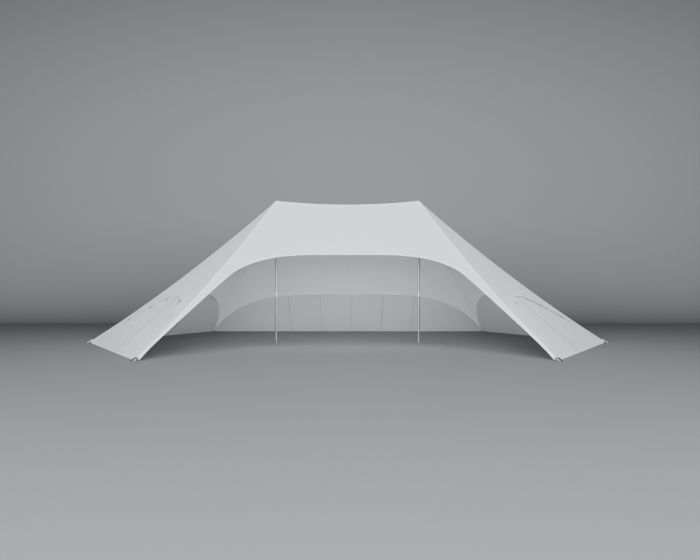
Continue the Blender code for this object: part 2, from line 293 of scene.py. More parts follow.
# Worked out from the driving dimensions
SLOPE_RUN = FOOT_RADIUS * math.sin(math.pi / 3)
SLOPE_ANGLE = math.atan2(PEAK_HEIGHT, SLOPE_RUN)
LONG_HALF_BASE = (MAST_SPACING + FOOT_RADIUS) / 2
SIDE_HALF_BASE = FOOT_RADIUS / 2
SIDE_WALL_HALF = SIDE_HALF_BASE - WALL_END_INSET
MAST_SIDES = {"left": -1, "right": 1}

# Name: (mast side, bearing of the sector's fall line in degrees, which end is the long side's)
SIDE_SECTORS = {
    "left_front": (-1, 210, 1),
    "left_rear": (-1, 150, -1),
    "right_front": (1, 330, -1),
    "right_rear": (1, 30, 1),
}
LONG_SECTORS = {"front": 270, "rear": 90}

# Name: (mast side, bearing of the ridge in degrees)
FEET = {
    "left": (-1, 180),
    "left_front": (-1, 240),
    "left_rear": (-1, 120),
    "right": (1, 0),
    "right_front": (1, 300),
    "right_rear": (1, 60),
}


def unit(vector):
    vector = np.asarray(vector, float)
    return vector / np.linalg.norm(vector, axis=-1, keepdims=True)


def directions(angle):
    """The level direction at an angle from +X, and the one across it."""
    out = np.array((math.cos(angle), math.sin(angle), 0))
    return out, np.array((-out[1], out[0], 0))


def spread(*values):
    """Brings values and arrays to one shape."""
    return np.broadcast_arrays(*[np.asarray(value, float) for value in values])


def smooth_step(share):
    share = np.clip(share, 0, 1)
    return share * share * (3 - 2 * share)


def roof_height(x, y):
    """Height of the membrane's outer face above points of the ground."""
    beyond_mast = np.maximum(np.abs(x) - MAST_SPACING / 2, 0)
    reach = np.maximum(np.abs(y), beyond_mast * math.cos(math.pi / 6) + np.abs(y) / 2)
    t = np.minimum(reach / SLOPE_RUN, 1)
    height = PEAK_HEIGHT * (1 - t) + FOOT_RISE * t - 4 * RIDGE_SAG * t * (1 - t)
    across = 2 * np.abs(x) / (MAST_SPACING + t * FOOT_RADIUS)
    return height - TOP_RIDGE_SAG * np.maximum(0, 1 - across**2) * (1 - t) ** 2


def raise_to_roof(place, rise=0.0):
    """Moves points up to the membrane's outer face, and rise above it."""
    place[..., 2] = roof_height(place[..., 0], place[..., 1]) + rise
    return place


def side_arch(end):
    """The arch of a side sector, which is flatter towards the long side's foot, at end."""

    def arch(q):
        power = np.where(np.asarray(q) * end > 0, SIDE_ARCH_LONG_POWER, SIDE_ARCH_SHORT_POWER)
        return 1 - SIDE_ARCH_RISE * (1 - (np.abs(q) / SIDE_HALF_BASE) ** power)

    return arch


def rear_arch(q):
    return 1 - REAR_ARCH_RISE * (1 - (np.abs(q) / LONG_HALF_BASE) ** REAR_ARCH_POWER)


def front_arch(q):
    """A flat crown that turns down into two legs, which follow the ridges to the feet."""
    crown = 1 - FRONT_ARCH_RISE
    crown = crown + FRONT_CROWN_FALL * (np.abs(q) / FRONT_CROWN_REACH) ** FRONT_CROWN_POWER
    reach = np.maximum(np.abs(q), MAST_SPACING / 2)
    flare = np.maximum(LONG_HALF_BASE - reach, 0) / FRONT_LEG_FLARE_REACH
    leg = ridge_t(reach, MAST_SPACING) + FRONT_LEG_END
    leg = leg + FRONT_LEG_FLARE * flare**FRONT_LEG_POWER
    return (crown + leg + np.sqrt((crown - leg) ** 2 + FRONT_CORNER_SOFTNESS**2)) / 2


def ridge_t(q, top_length):
    """The t at which a ridge, or the top of the sector, passes q across."""
    return np.maximum((2 * np.abs(q) - top_length) / FOOT_RADIUS, 0)


def stretch(t):
    """Length along the slope for each metre of ground under it."""
    fall = (PEAK_HEIGHT - FOOT_RISE + 4 * RIDGE_SAG * (1 - 2 * t)) / SLOPE_RUN
    return np.sqrt(1 + fall**2)


class Sector:
    """One of the six faces of the roof, with its own axes on the ground."""

    def __init__(self, mast_side, bearing, end, top_length, arch):
        self.origin = np.array((mast_side * MAST_SPACING / 2, 0, 0))
        self.fall, self.across = directions(math.radians(bearing))
        self.top_length = top_length
        self.half_base = (top_length + FOOT_RADIUS) / 2
        self.arch = arch
        self.end = end

    def plan(self, q, t):
        q, t = spread(q, t)
        run = t[..., None] * SLOPE_RUN
        return self.origin + self.fall * run + self.across * q[..., None]

    def roof(self, q, t, rise=0.0):
        """Points of the membrane's outer face, moved out from it by rise."""
        rise = (rise + self.lift(q, t)) / math.cos(SLOPE_ANGLE)
        return raise_to_roof(self.plan(q, t), self.folds(q, t) - self.crease(q, t) + rise)

    def share_across(self, q, t):
        """0 at the middle of the sector and 1 at its ridges."""
        half = np.maximum((self.top_length + t * FOOT_RADIUS) / 2, 1e-6)
        return np.clip(np.abs(q) / half, 0, 1)

    def folds(self, q, t):
        """Height of the folds that the pull of a peak or a foot draws into the cloth."""
        q, t = spread(q, t)
        share = self.share_across(q, t)
        run, beside = t * SLOPE_RUN, np.abs(q) - self.top_length / 2
        from_peak = np.hypot(beside, run)
        spokes = np.cos(PEAK_FOLD_COUNT * np.arctan2(run, beside + 1e-9))
        fading = np.exp(-((from_peak / PEAK_FOLD_REACH) ** 2))
        fading = fading * smooth_step((from_peak - PEAK_FOLD_START) / PEAK_FOLD_START)
        across, along = self.half_base - np.abs(q), SLOPE_RUN - run
        from_foot = np.hypot(across, along) / FOOT_FOLD_REACH
        rays = np.cos(FOOT_FOLD_COUNT * np.arctan2(across, along + 1e-9))
        foot = FOOT_FOLD * rays * np.exp(-(from_foot**2)) * np.minimum(from_foot, 1)
        return (PEAK_FOLD * spokes * fading + foot) * share * (1 - share) * 4

    def crease(self, q, t):
        """Depth of the crease that runs beside the hem to the foot of a front leg."""
        if self.arch is not front_arch:
            return 0.0
        beside = (self.arch(q) - t) / self.arch_slant(q) - HEM
        near_foot = (np.abs(q) - HEM_CREASE_START) / (HEM_CREASE_FULL - HEM_CREASE_START)
        return HEM_CREASE * np.exp(-((beside / HEM_CREASE_WIDTH) ** 2)) * smooth_step(near_foot)

    def lift(self, q, t):
        """How far the edge of the canopy stands off the wall under it."""
        if self.top_length:
            return np.zeros(np.broadcast(q, t).shape)
        above = (self.arch(q) - t) * SLOPE_RUN * stretch(1.0) / EDGE_LIFT_REACH
        calm = 1 - self.share_across(q, t) ** 6
        return EDGE_LIFT * np.exp(-(above**2)) * calm

    def wall(self, q, t, depth=0.0):
        """Points of the wall under the arch, set in from the roof's outer face by depth."""
        start = self.arch(np.asarray(q, float))
        share = np.clip((t - start) / np.maximum(1 - start, 1e-6), 0, 1)
        middle = ZIP_PLACE * self.end
        reach = SIDE_WALL_HALF - np.where(q > middle, middle, -middle)
        aside = ZIP_LEAN * self.end * (1 - np.abs(q - middle) / reach)
        place = raise_to_roof(self.plan(q + aside * share, t), -FOOT_RISE * share**2)
        place[..., 2] -= depth / math.cos(SLOPE_ANGLE) * (1 - share)
        place -= self.fall * (depth / math.sin(SLOPE_ANGLE) * share)[..., None]
        place[..., 2] = np.where(t >= 1, 0, place[..., 2])
        return place

    def out(self, q, t):
        """Directions square to the roof."""
        q, t = spread(q, t)
        slope = np.sqrt(stretch(t) ** 2 - 1)[..., None]
        return unit(self.fall * slope + np.array((0, 0, 1)))

    def arch_slant(self, q):
        """Length down the slope, for each metre square to the arch's edge."""
        reach = 1e-4
        rise = (self.arch(q + reach) - self.arch(q - reach)) / (2 * reach)
        run = SLOPE_RUN * stretch(self.arch(q))
        return np.sqrt(1 + (rise * run) ** 2) / run

    def inside_arch(self, q, inset):
        """The t of a line that runs inset up from the arch's edge."""
        return self.arch(q) - inset * self.arch_slant(q)

    def beside_ridge(self, q, inset):
        """The t of a line that runs inset below the ridge."""
        start = ridge_t(q, self.top_length)
        run = SLOPE_RUN * stretch(start)
        lean = 2 / FOOT_RADIUS * run
        slant = inset * math.sqrt(1 + np.max(lean) ** 2)
        past_mast = lean * (np.abs(q) - self.top_length / 2)
        return np.maximum(inset, slant + past_mast) / run


SECTORS = {name: Sector(*p, 0.0, side_arch(p[2])) for name, p in SIDE_SECTORS.items()}
SECTORS["front"] = Sector(0, LONG_SECTORS["front"], 0, MAST_SPACING, front_arch)
SECTORS["rear"] = Sector(0, LONG_SECTORS["rear"], 0, MAST_SPACING, rear_arch)


def lengths_along(path):
    steps = np.linalg.norm(np.diff(path, axis=0), axis=1)
    return np.concatenate([[0], np.cumsum(steps)])


def turns_round(sides):
    return np.arange(sides) * math.tau / sides


def map_grid(u, v):
    """Places on the cloth map for a grid of points, with v along its rows."""
    return np.stack(np.meshgrid(u, v), axis=-1)


def add_object(name, data):
    item = bpy.data.objects.new(name, data)
    bpy.context.scene.collection.objects.link(item)
    return item


class Form:
    """Gathers closed shapes into one mesh: points, faces and places on the cloth map."""

    def __init__(self):
        self.points, self.faces, self.slots, self.places = [], [], [], []
        self.count = 0

    def add(self, points, faces, places=None, slots=0):
        points = np.asarray(points, float).reshape(-1, 3)
        places = np.zeros((len(points), 2)) if places is None else np.asarray(places, float)
        self.faces += [[k + self.count for k in face] for face in faces]
        self.slots += slots if isinstance(slots, list) else [slots] * len(faces)
        self.points.append(points)
        self.places.append(places.reshape(-1, 2))
        self.count += len(points)

    def place(self, name, finishes, slot, *nodes, sharp=25.0, merge=0.0):
        """Makes the piece and fixes it to the tent, in place of the nodes named.

        Points nearer to each other than merge become one.
        """
        mesh = bpy.data.meshes.new(name)
        mesh.from_pydata(np.concatenate(self.points).tolist(), [], self.faces)
        corners = np.empty(len(mesh.loops), np.int32)
        mesh.loops.foreach_get("vertex_index", corners)
        places = np.concatenate(self.places)[corners]
        mesh.uv_layers.new(name="cloth").uv.foreach_set("vector", places.ravel())
        for finish in finishes:
            mesh.materials.append(FINISH[finish])
        mesh.polygons.foreach_set("material_index", self.slots)
        work_mesh = bmesh.new()
        work_mesh.from_mesh(mesh)
        if merge:
            bmesh.ops.remove_doubles(work_mesh, verts=work_mesh.verts, dist=merge)
        bmesh.ops.recalc_face_normals(work_mesh, faces=work_mesh.faces)
        work_mesh.to_mesh(mesh)
        work_mesh.free()
        mesh.shade_smooth()
        mesh.set_sharp_from_angle(angle=math.radians(sharp))
        piece = add_object(name, mesh)
        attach(piece, "root")
        if nodes:
            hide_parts(*nodes)
        return piece


def grid_faces(columns, rows, first=0):
    """The faces of a grid of points kept column by column."""
    corners = first + np.arange((columns - 1) * rows).reshape(-1, rows)[:, :-1].ravel()
    return [(k, k + rows, k + rows + 1, k + 1) for k in corners.tolist()]


def rim_faces(line, other):
    """The faces between two lines of point numbers."""
    return [(a, b, d, c) for a, b, c, d in zip(line, line[1:], other, other[1:])]


def add_cloth(form, outer, inner, places, row_slots, inner_slot, open_top=False):
    """Adds a sheet between two grids of points. open_top leaves the first row to be merged."""
    columns, rows = outer.shape[:2]
    count = columns * rows
    low = [i * rows + rows - 1 for i in range(columns)]
    edges = [low, list(range(rows)), list(range(count - rows, count))]
    if not open_top:
        edges.append([i * rows for i in range(columns)])
    rim = [face for edge in edges for face in rim_faces(edge, [k + count for k in edge])]
    faces = grid_faces(columns, rows) + rim + grid_faces(columns, rows, count)
    slots = row_slots * (columns - 1) + [row_slots[-1]] * len(rim)
    slots += [inner_slot] * ((columns - 1) * (rows - 1))
    points = np.concatenate([outer.reshape(-1, 3), inner.reshape(-1, 3)])
    form.add(points, faces, np.concatenate([places.reshape(-1, 2)] * 2), slots)


def ring_faces(count, sides, steps):
    """The faces between each ring of points and the next, for so many steps."""
    faces = []
    for i in range(steps):
        a, b = i * sides, (i + 1) % count * sides
        ends = [(k, (k + 1) % sides) for k in range(sides)]
        faces += [(a + k, a + m, b + m, b + k) for k, m in ends]
    return faces


def add_rings(form, rings, places=None, slot=0):
    """Adds a closed body that passes through rings of points, flat at both ends."""
    rings = np.asarray(rings, float)
    count, sides = rings.shape[:2]
    faces = ring_faces(count, sides, count - 1)
    faces.append(tuple(range(sides - 1, -1, -1)))
    faces.append(tuple(range((count - 1) * sides, count * sides)))
    if places is None:
        out = np.linalg.norm(rings - rings.mean(axis=1, keepdims=True), axis=2).mean(axis=1)
        u = turns_round(sides) * max(out.max(), 1e-3)
        places = map_grid(u, lengths_along(rings[:, 0]))
    form.add(rings, faces, places, slot)


def add_turned(form, profile, base, axis=(0, 0, 1), sides=32):
    """Adds a body turned about axis, from (radius, height) corners in order."""
    axis = unit(axis)
    side = unit(np.cross((1, 0, 0) if abs(axis[2]) > 0.9 else (0, 0, 1), axis))
    turns = turns_round(sides)[:, None]
    spokes = np.cos(turns) * side + np.sin(turns) * np.cross(axis, side)
    base = np.asarray(base, float)
    add_rings(form, [base + spokes * max(r, TINY) + axis * height for r, height in profile])


def rounded(radius, low, high, edge=0.001):
    """Profile of a round bar with its rims taken off."""
    side = [(radius - edge, low), (radius, low + edge)]
    return side + [(radius, high - edge), (radius - edge, high)]


def add_plate(form, outline, low, high, origin, axes, chamfer=0.0008, slot=0):
    """Adds a plate: an outline in the first two axes, from low to high along the third."""
    outline = np.asarray(outline, float)
    out = outline - outline.mean(axis=0)
    inset = outline - out / np.linalg.norm(out, axis=1, keepdims=True) * chamfer
    origin, axes = np.asarray(origin, float), np.asarray(axes, float)
    levels = [(inset, low), (outline, low + chamfer), (outline, high - chamfer), (inset, high)]
    rings = [origin + flat @ axes[:2] + axes[2] * height for flat, height in levels]
    add_rings(form, rings, slot=slot)


def add_mm_plate(form, outline, low, high, origin, axes, chamfer):
    add_plate(form, MM * np.array(outline), MM * low, MM * high, origin, axes, chamfer)


def add_strip(form, path, across, up, width, thickness, slot=0):
    """Adds a flat strap with soft edges. Its underside lies on path."""
    path = np.asarray(path, float)
    across, up = np.broadcast_to(across, path.shape), np.broadcast_to(up, path.shape)
    half, edge = width / 2, thickness / 3
    side = [(half - edge, 0), (half, edge), (half, thickness - edge), (half - edge, thickness)]
    outline = side + [(-a, b) for a, b in reversed(side)]
    rings = np.stack([path + across * a + up * b for a, b in outline], axis=1)
    add_rings(form, rings, map_grid([a for a, b in outline], lengths_along(path)), slot)


def add_stitches(form, path, up, pitch=STITCH_PITCH):
    """Adds a row of stitches along a path that lies on cloth. up is square to the cloth."""
    path = np.asarray(path, float)
    up = np.broadcast_to(up, path.shape)
    along = lengths_along(path)
    count = int(along[-1] // pitch)
    if count < 1:
        return
    middles = (np.arange(count) + 0.5) * along[-1] / count
    reach = STITCH_LENGTH / 2 * pitch / STITCH_PITCH

    def at(values, s):
        return np.stack([np.interp(s, along, values[:, k]) for k in range(3)], axis=-1)

    start, end, centre = at(path, middles - reach), at(path, middles + reach), at(path, middles)
    raised = unit(at(up, middles))
    side = unit(np.cross(raised, end - start)) * STITCH_WIDTH / 2
    points = [start, end, centre + raised * STITCH_RISE, centre + side, centre - side]
    corners = [(0, 3, 2), (0, 2, 4), (0, 4, 3), (1, 2, 3), (1, 4, 2), (1, 3, 4)]
    firsts = range(0, count * len(points), len(points))
    form.add(np.stack(points, axis=1), [[k + a for a in face] for k in firsts for face in corners])


def stations(first, last, steps):
    """Places from first to last, closest together at both ends."""
    turns = np.arange(steps + 1) * math.pi / steps
    return first + (last - first) * (1 - np.cos(turns)) / 2


def columns_of(sector):
    """The q of each column of a sector, from one foot to the other."""
    half = (sector.top_length + stations(0, CORNER_T, RIDGE_STEPS) * FOOT_RADIUS) / 2
    if not sector.top_length:
        return np.concatenate([-half[:0:-1], half])
    middle = np.linspace(-half[0], half[0], TOP_STEPS + 1)
    return np.concatenate([-half[:0:-1], middle, half[1:]])


def add_panel(form, surface, q, t, moved, *slots, open_top=False):
    """Adds a sheet of a sector, from how far its outer and its inner face are moved.

    Its cloth map goes across the sector, and down the slope from the peaks.
    """
    q = q[:, None] + 0 * t
    places = np.stack([q, t * SLOPE_RUN * stretch(t / 2)], axis=-1)
    outer, inner = [surface(q, t, move) for move in moved]
    add_cloth(form, outer, inner, places, *slots, open_top)


def canopy_rows(sector, q):
    """The t of each row of the membrane at each column, and which columns have a whole hem."""
    start, end = ridge_t(q, sector.top_length), sector.arch(q)
    band = sector.beside_ridge(q, RIDGE_BAND) - start
    hem = HEM * sector.arch_slant(q)
    step = STEP / SLOPE_RUN
    share = np.minimum(1, MOST_OF_COLUMN * (end - start) / (band + hem + 2 * step))
    near = [start, start + band * share, start + (band + step) * share]
    far = [end - (hem + step) * share, end - hem * share, end - hem * share / 2, end]
    reach = (far[0] - near[-1]) / CANOPY_STEPS
    middle = [near[-1] + reach * k for k in range(1, CANOPY_STEPS)]
    return np.stack(near + middle + far, axis=1), share == 1


def add_tape(form, sector, q, t, on_wall=False):
    """Adds the tape over a weld, down the cloth's inner face at q across."""
    depth = CLOTH + WELD_GAP
    path = sector.wall(q, t, WALL_RECESS + depth) if on_wall else sector.roof(q, t, -depth)
    width = WALL_WELD_WIDTH if on_wall else WELD_WIDTH
    add_strip(form, path, sector.across, -sector.out(q, t), width, WELD_RISE, 3)


def build_canopy():
    """The whole roof as one sheet. Its sectors share their points along the ridges."""
    form, threads = Form(), Form()
    rises = np.array([BAND_RISE] * 2 + [0.0] * (CANOPY_STEPS + 1) + [BAND_RISE] * 3)
    row_slots = [2] * 2 + [0] * CANOPY_STEPS + [2] * 3
    for sector in SECTORS.values():
        q = columns_of(sector)
        t, whole = canopy_rows(sector, q)
        moved = rises, -CLOTH - rises
        add_panel(form, sector.roof, q, t, moved, row_slots, 1, open_top=True)
        for k in range(-2, 3):
            start = sector.beside_ridge(k * STRIP, RIDGE_BAND + STEP)
            end = sector.arch(k * STRIP) - WELD_END / SLOPE_RUN
            t = np.linspace(start, end, CANOPY_STEPS)
            add_tape(form, sector, k * (STRIP + STRIP_FLARE * t), t)
        q = q[whole]
        rows = [sector.inside_arch(q, inset) for inset in (HEM - STITCH_INSET, STITCH_INSET)]
        for t in [sector.beside_ridge(q, RIDGE_BAND - STITCH_INSET)] + rows:
            add_stitches(threads, sector.roof(q, t, BAND_RISE), sector.out(q, t))
    finishes = ["canopy_outside", "canopy_inside", "canopy_hem", "weld_tape"]
    nodes = ["canopy_" + name for name in SECTORS]
    canopy = form.place("canopy", finishes, "canopy_fabric", *nodes, merge=1e-5)
    stitching = threads.place("canopy_stitching", ["thread"], "canopy_fabric")


def add_wall(form, threads, sector, q, welds):
    """Adds one piece of wall, tucked under the canopy's edge and hemmed at the ground."""
    start = sector.inside_arch(q, WALL_TUCK)
    run = SLOPE_RUN * stretch(1.0)
    share = np.minimum(1, MOST_OF_COLUMN * (1 - start) * run / (HEM + STEP))
    low = 1 - np.array([HEM + STEP, HEM, HEM / 2, 0])[None, :] * share[:, None] / run
    upper = start[:, None] + (low[:, :1] - start[:, None]) * np.arange(WALL_STEPS) / WALL_STEPS
    t = np.concatenate([upper, low], axis=1)
    rises = np.array([0.0] * (WALL_STEPS + 1) + [BAND_RISE] * 3)
    moved = WALL_RECESS - rises, WALL_RECESS + CLOTH + rises
    add_panel(form, sector.wall, q, t, moved, [0] * (WALL_STEPS + 1) + [2] * 2, 1)
    for place in welds:
        t = np.linspace(sector.arch(place), WALL_TAPE_END, WALL_STEPS)
        add_tape(form, sector, place + 0 * t, t, on_wall=True)
    t = 1 - (HEM - STITCH_INSET) / run
    hem_line = sector.wall(q, q * 0 + t, WALL_RECESS - BAND_RISE)
    add_stitches(threads, hem_line, sector.out(q, t))


def place_wall(form, threads, node, inner_finish):
    finishes = ["wall_outside", inner_finish, "wall_hem", "wall_tape"]
    wall = form.place(node + "_cloth", finishes, "wall_fabric", node)
    stitching = threads.place(node + "_stitching", ["thread"], "wall_fabric")


def build_side_walls():
    """Each side wall is two halves that meet at a zip."""
    first, last = ZIP_WIDTH / 2 + SEAM_GAP, SIDE_WALL_HALF
    for name in SIDE_SECTORS:
        sector = SECTORS[name]
        middle = ZIP_PLACE * sector.end
        zip_pieces = build_zip(name, sector, middle)
        for number, side in (("1", 1), ("2", -1)):
            form, threads = Form(), Form()
            q = stations(middle + first * side, last * side, SIDE_WALL_STEPS)
            add_wall(form, threads, sector, q, [SIDE_WALL_WELD * side])
            t = np.linspace(sector.arch(middle), 1, WALL_STEPS)
            q = middle + (ZIP_GAP / 2 + ZIP_TAPE - STITCH_INSET / 2) * side + t * 0
            line = sector.wall(q, t, WALL_RECESS - TINY - ZIP_TAPE_CLOTH)
            add_stitches(threads, line, sector.out(q, t))
            node, pieces = f"wall_{name}_{number}", zip_pieces if side > 0 else ()
            place_wall(form, threads, node, "side_wall_inside")


def build_rear_wall():
    """The rear wall is one length, welded up from strips."""
    form, threads, last = Form(), Form(), LONG_HALF_BASE - WALL_END_INSET
    q = stations(-last, last, REAR_WALL_STEPS)
    add_wall(form, threads, SECTORS["rear"], q, WALL_WELDS)
    place_wall(form, threads, "wall_rear", "wall_inside")


def build_zip(name, sector, middle):
    """The zip of a side wall: two tapes, a chain of teeth and a slider."""
    t = np.linspace(sector.inside_arch(middle, ZIP_TUCK), 1, 3 * WALL_STEPS)
    form, slider = Form(), Form()
    for side in (-1, 1):
        q = middle + side * (ZIP_GAP + ZIP_TAPE) / 2
        path = sector.wall(q + 0 * t, t, WALL_RECESS - TINY)
        add_strip(form, path, sector.across, sector.out(middle, t), ZIP_TAPE, ZIP_TAPE_CLOTH)
    along = lengths_along(sector.wall(middle + 0 * t, t, WALL_RECESS))
    count = int(along[-1] / TOOTH_PITCH)
    places = np.interp((np.arange(count) + 0.5) / count * along[-1], along, t)
    middles = sector.wall(middle + 0 * places, places, WALL_RECESS - ZIP_TAPE_CLOTH)
    down = unit(sector.wall(middle + 0 * places, places + 1e-3, WALL_RECESS) - middles)
    square = sector.out(middle, places)
    half, wide = TOOTH_PITCH * TOOTH_SHARE / 2, TOOTH_WIDTH / 2
    outline = [(-wide, -half), (wide, -half), (wide, half), (-wide, half)]
    for k in range(count):
        axes = (sector.across, down[k], square[k])
        add_plate(form, outline, -TOOTH_RISE, TOOTH_RISE, middles[k], axes, 0.0004, 1)
    place = 1 - SLIDER_HEIGHT / SLOPE_RUN
    origin = sector.wall(middle, place, WALL_RECESS)
    down = unit(sector.wall(middle, place + 1e-3, WALL_RECESS) - origin)
    for outline, low, high in SLIDER_LAYERS:
        axes = (sector.across, down, sector.out(middle, place))
        add_mm_plate(slider, outline, low, high, origin, axes, 0.0003)
    chain = form.place(f"zip_{name}_chain", ["zip_tape", "zip_teeth"], "zip", "zip_" + name)
    return [chain, slider.place(f"zip_{name}_slider", ["zip_teeth"], "zip")]


def build_tabs(name, sector):
    """Short straps that buckle the canopy's edge down to the wall."""
    straps, threads, buckles = Form(), Form(), Form()
    run = SLOPE_RUN * stretch(1.0)
    down = np.linspace(-TAB_ABOVE, TAB_BELOW, TAB_STEPS)
    for place_across, lean in TABS[name.split("_")[0]]:
        if (name, place_across) == TORN_OFF:
            continue
        middle = place_across * sector.end
        q = middle + lean * sector.end * down
        t = float(sector.arch(middle)) + down / run
        past = smooth_step((t - sector.arch(q)) * run / TAB_STEP_DOWN)
        on_roof = sector.lift(q, t) + BAND_RISE
        height = on_roof * (1 - past) - (WALL_RECESS - STEP) * past
        up = sector.out(q, t)
        path = raise_to_roof(sector.plan(q, t)) + up * (height + TINY)[:, None]
        across = unit(np.cross(path[-1] - path[0], up[0]))
        add_strip(straps, path, across, up, TAB_WIDTH, TAB_THICKNESS)
        sewn = path[: TAB_STEPS // 3] + up[0] * TAB_THICKNESS
        for side in (-1, 1):
            shift = across * side * (TAB_WIDTH / 2 - STITCH_INSET)
            add_stitches(threads, sewn + shift, up[0])
        k = int(TAB_STEPS * BUCKLE_PLACE)
        axes = (across, unit(path[k + 1] - path[k]), up[k])
        for outline, low, high in BUCKLE_LAYERS:
            base = path[k] + up[k] * TAB_THICKNESS
            add_mm_plate(buckles, outline, low, high, base, axes, 0.0008)
    straps.place("tabs_" + name, ["grey_webbing"], "webbing")
    threads.place("tab_stitching_" + name, ["thread"], "webbing")
    buckles.place("tab_buckles_" + name, ["buckle_plastic"], "webbing")


def build_edge_tape_and_shadow(name, sector):
    """The dark zip tape that joins the wall to the canopy, widened as painted shadow where the
    edge stands off it.
    """
    form = Form()
    first, last, narrow, swell, middle, reach = EDGE_TAPES_AND_SHADOWS[name]
    q = np.linspace(first, last, EDGE_TAPE_STEPS) * sector.end
    fade = np.minimum(q - q[0], q[-1] - q) * sector.end / EDGE_TAPE_FADE
    # The wide bit is painted shadow of the gap where the canopy's edge stands off the wall
    bulge = np.exp(-(((q * sector.end - middle) / reach) ** 2))
    width = narrow * smooth_step(fade) + swell * bulge
    upper = sector.arch(q) - EDGE_TAPE_TUCK / SLOPE_RUN
    lower = sector.arch(q) + np.maximum(width, STEP) * sector.arch_slant(q)
    t = np.stack([upper, (upper + lower) / 2, lower], axis=1)
    moved = WALL_RECESS - EDGE_TAPE_CLOTH, WALL_RECESS - SEAM_GAP
    add_panel(form, sector.wall, q, t, moved, [0, 0], 0)
    form.place("edge_tape_" + name, ["edge_tape"], "zip")


def circle(x_middle, radius, height=None, drop=0.0, sides=48):
    """A circle of points about a mast, level at a height or drop below the roof's outer face."""
    turns = turns_round(sides)
    x, y = x_middle + radius * np.cos(turns), radius * np.sin(turns)
    z = roof_height(x, y) - drop if height is None else height + 0 * x
    return np.stack([x, y, z], axis=1)


def build_mast_head(name, x):
    """A cast dish that carries the peak, on a socket with ribs."""
    form, low = Form(), PEAK_HEIGHT - HEAD_DEPTH
    socket = MAST_RADIUS + SOCKET_WALL
    rings = [circle(x, TINY, low), circle(x, socket, low), circle(x, socket, low + 0.045)]
    rings += [circle(x, r, low + 0.05 + (r - 0.05) * 0.12) for r in (0.052, 0.09, 0.128)]
    rings.append(circle(x, HEAD_RADIUS, drop=HEAD_CLEARANCE + 0.012))
    rings += [circle(x, r, drop=HEAD_CLEARANCE) for r in np.linspace(HEAD_RADIUS, TINY, 12)]
    add_rings(form, rings)
    rib = [(0.042, 0.006), (0.052, 0.006), (0.118, 0.054), (0.118, 0.058), (0.042, 0.052)]
    for k in range(8):
        out, across = directions(math.tau * (k + 0.5) / 8)
        add_plate(form, rib, -0.003, 0.003, (x, 0, low), (out, (0, 0, 1), across), 0.0012)
    finish, slot = ["cast_aluminium"], "steel_fitting"
    form.place(f"mast_head_{name}_dish", finish, slot, "mast_head_" + name, sharp=40)


def build_peak_cap(name, x):
    """A doubled round of cloth over the peak, sewn on."""
    form, threads, node = Form(), Form(), "peak_cap_" + name
    base, top = -(BAND_RISE / math.cos(SLOPE_ANGLE) + 0.0009), -CAP_TOP
    radii = np.linspace(TINY, CAP_RADIUS, 14)
    rings = [circle(x, r, drop=base, sides=CAP_SIDES) for r in radii]
    rings.append(circle(x, CAP_RADIUS + 0.0012, drop=(base + top) / 2, sides=CAP_SIDES))
    rings += [circle(x, r, drop=top, sides=CAP_SIDES) for r in radii[::-1]]
    add_rings(form, rings)
    for radius in (0.03, 0.05, CAP_RADIUS - 0.02, CAP_RADIUS - STITCH_INSET):
        line = circle(x, radius, drop=top, sides=CAP_SIDES)
        add_stitches(threads, np.concatenate([line, line[:1]]), (0, 0, 1))
    cap = form.place(node + "_cloth", ["canopy_hem"], "canopy_fabric", node)
    stitching = threads.place(node + "_stitching", ["thread"], "canopy_fabric")


def build_mast(name, x):
    """A tube in three lengths, joined by sleeves with spring buttons."""
    tube, fittings = Form(), Form()
    profile = rounded(MAST_RADIUS, BASE_THICKNESS + SEAM_GAP, PEAK_HEIGHT - HEAD_DEPTH)
    add_turned(tube, profile, (x, 0, 0), sides=40)
    slot = "mast_aluminium"
    tube.place(f"mast_{name}_tube", ["mast_aluminium"], slot, "mast_" + name, sharp=40)
    r, half, bore = MAST_RADIUS + 0.0035, SLEEVE_LENGTH / 2, MAST_RADIUS + 0.0003
    button = [(0.006, 0), (0.006, 0.002), (0.004, 0.0045), (TINY, 0.005)]
    for height in MAST_JOINTS:
        profile = [(bore, -half)] + rounded(r, -half, half) + [(bore, half)]
        add_turned(fittings, profile, (x, 0, height), sides=40)
        for drop in (-0.6, 0.6):
            add_turned(fittings, button, (x, -r + 0.0005, height + drop * half), (0, -1, 0), 12)
    fittings.place("mast_sleeves_" + name, ["cast_aluminium"], slot, sharp=40)


def build_mast_base(name, x):
    """The steel foot of a mast: a plate, a spigot, four bolts, and a collar held by ribs."""
    form, top = Form(), (x, 0, BASE_THICKNESS)
    spigot, collar = MAST_RADIUS - 0.0045, MAST_RADIUS + SOCKET_WALL
    plate = [(TINY, 0.0)] + rounded(BASE_RADIUS, 0.0, BASE_THICKNESS, 0.002)
    plate += [(spigot, BASE_THICKNESS), (spigot, SPIGOT_HEIGHT - 0.003)]
    plate += [(spigot - 0.003, SPIGOT_HEIGHT), (TINY, SPIGOT_HEIGHT)]
    add_turned(form, plate, (x, 0, 0), sides=48)
    bolt = [(0.007, 0), (0.007, 0.0015), (0.005, 0.0016), (0.005, 0.006), (0.0035, 0.007)]
    rib = [(collar, 0), (0.061, 0), (0.061, 0.004), (collar, 0.045)]
    for turn in turns_round(4):
        out, across = directions(turn + math.pi / 4)
        add_turned(form, bolt, top + BOLT_CIRCLE * out, sides=16)
        out, across = directions(turn)
        add_plate(form, rib, -0.0025, 0.0025, top, (out, (0, 0, 1), across), 0.0006)
    inner = MAST_RADIUS + 0.0006
    profile = [(inner, 0.001), (collar, 0.001), (collar, 0.055), (inner, 0.057)]
    add_turned(form, profile, top, sides=40)
    node = "mast_base_" + name
    form.place(node + "_plate", ["galvanised_steel"], "steel_fitting", node, sharp=40)


